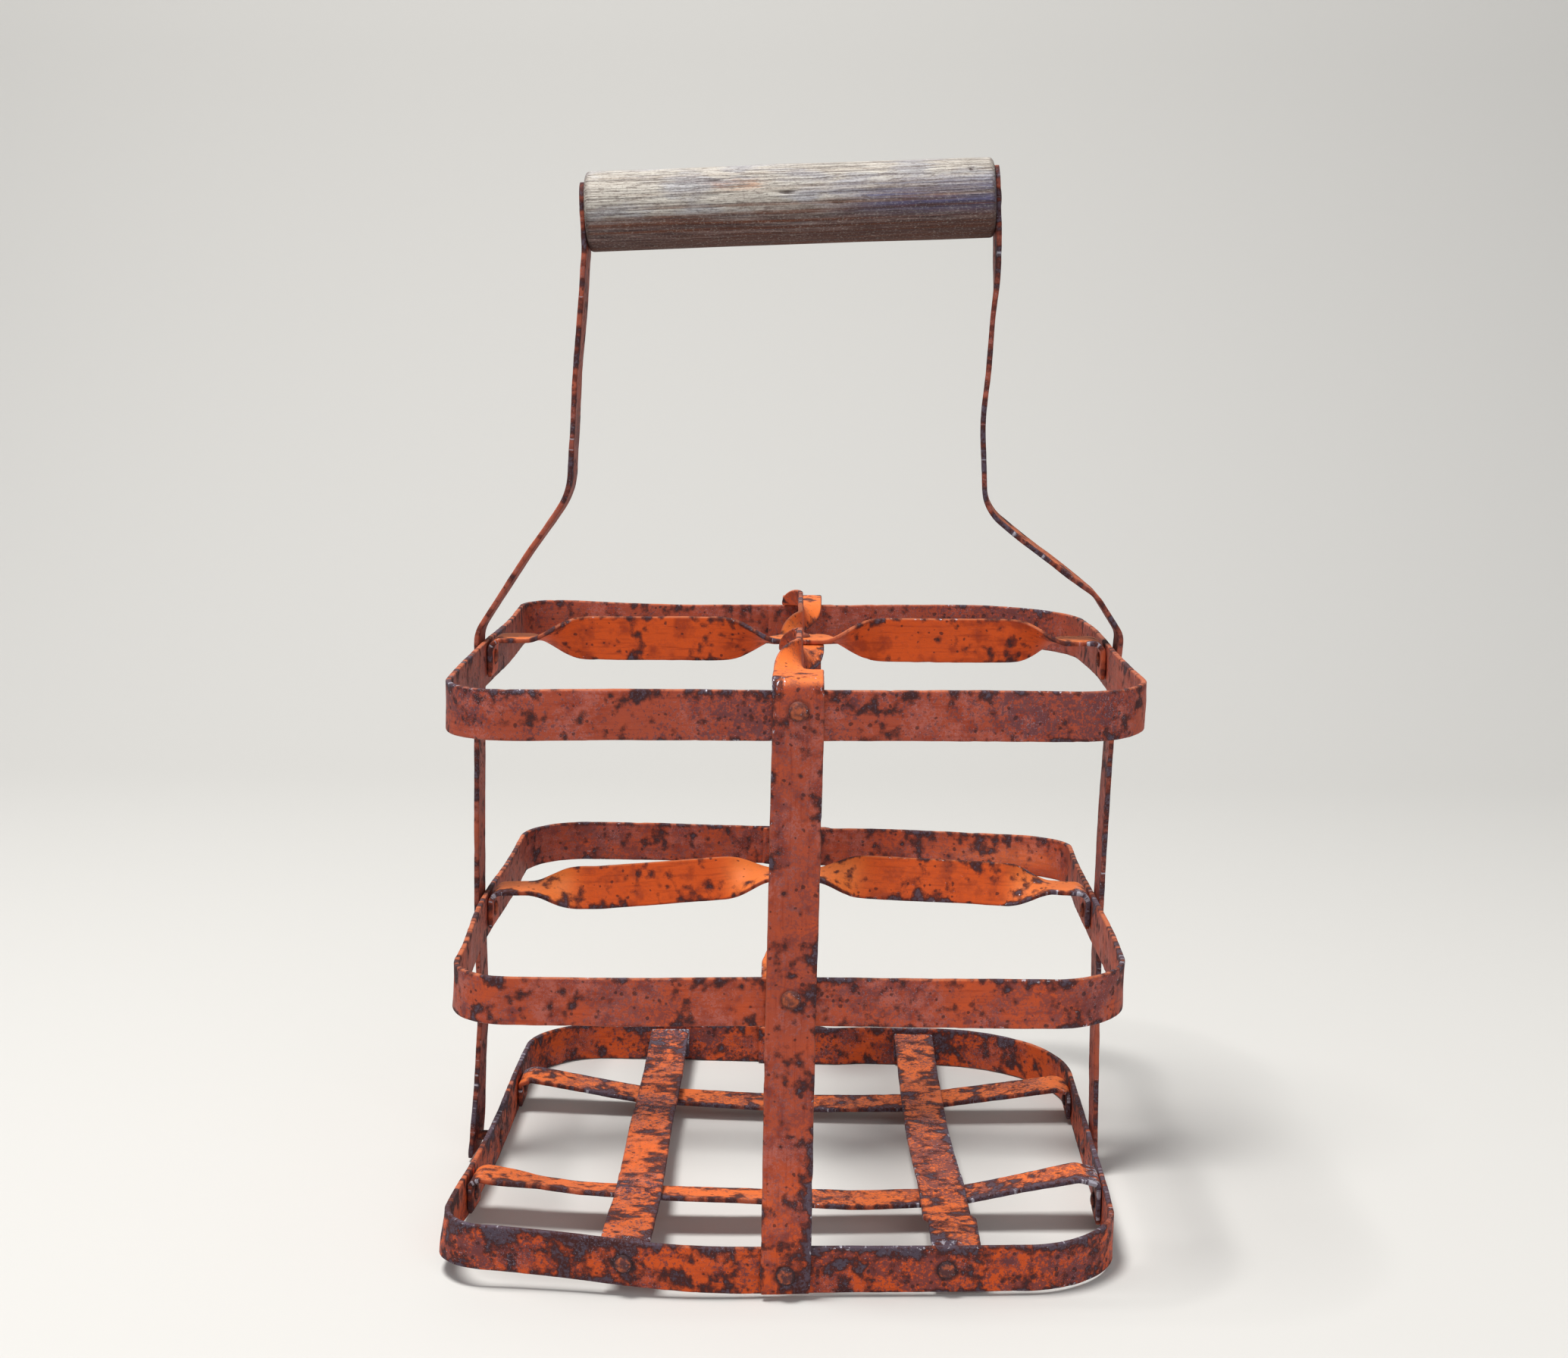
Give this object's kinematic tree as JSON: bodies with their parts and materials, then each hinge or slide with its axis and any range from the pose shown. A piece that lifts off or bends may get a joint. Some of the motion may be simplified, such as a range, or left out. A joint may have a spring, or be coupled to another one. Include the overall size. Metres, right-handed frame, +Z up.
{
  "type": "milk bottle crate",
  "caption": "Open carrier for bottles: rounded square hoops of painted strap iron joined by riveted uprights, twisted dividers and base slats, with a wooden carrying grip.",
  "frame": {"origin": "on the ground under the middle of the crate, at the bottom centre of the bounding box", "axes": "+Z up, +X to the right along the grip, -Y to the front"},
  "size_m": [0.1938, 0.1938, 0.3089],
  "materials": {
    "painted_strap": "chipped and rusted satin paint",
    "painted_rivets": "painted, worn to dark steel at the rims",
    "worn_steel": "dull and rusted",
    "weathered_wood": "bare, weathered, matt"
  },
  "bodies": {
    "frame": {"base_cross_slat_back": "painted_strap", "base_cross_slat_front": "painted_strap", "base_hoop": "painted_strap", "base_long_slat_left": "painted_strap", "base_long_slat_right": "painted_strap", "front_back_strap": "painted_strap", "grip_rod": "worn_steel", "left_side_strap": "painted_strap", "middle_cross_divider": "painted_strap", "middle_hoop": "painted_strap", "middle_long_divider": "painted_strap", "right_side_strap": "painted_strap", "rivet_base_back": "painted_rivets", "rivet_base_front": "painted_rivets", "rivet_base_left": "painted_rivets", "rivet_base_right": "painted_rivets", "rivet_middle_back": "painted_rivets", "rivet_middle_crossing": "painted_rivets", "rivet_middle_front": "painted_rivets", "rivet_middle_left": "painted_rivets", "rivet_middle_right": "painted_rivets", "rivet_slat_back_left": "painted_rivets", "rivet_slat_back_right": "painted_rivets", "rivet_slat_front_left": "painted_rivets", "rivet_slat_front_right": "painted_rivets", "rivet_slat_left_back": "painted_rivets", "rivet_slat_left_front": "painted_rivets", "rivet_slat_right_back": "painted_rivets", "rivet_slat_right_front": "painted_rivets", "rivet_top_back": "painted_rivets", "rivet_top_crossing": "painted_rivets", "rivet_top_front": "painted_rivets", "rivet_top_left": "painted_rivets", "rivet_top_right": "painted_rivets", "top_cross_divider": "painted_strap", "top_hoop": "painted_strap"},
    "grip": {"wooden_grip": "weathered_wood"}
  },
  "joints": [
    {"name": "grip_spin", "type": "hinge", "parent": "frame", "child": "grip", "pos_m": [-0.0018, 0, 0.295], "axis": [0.9991, 0, 0.0419], "continuous": true}
  ]
}
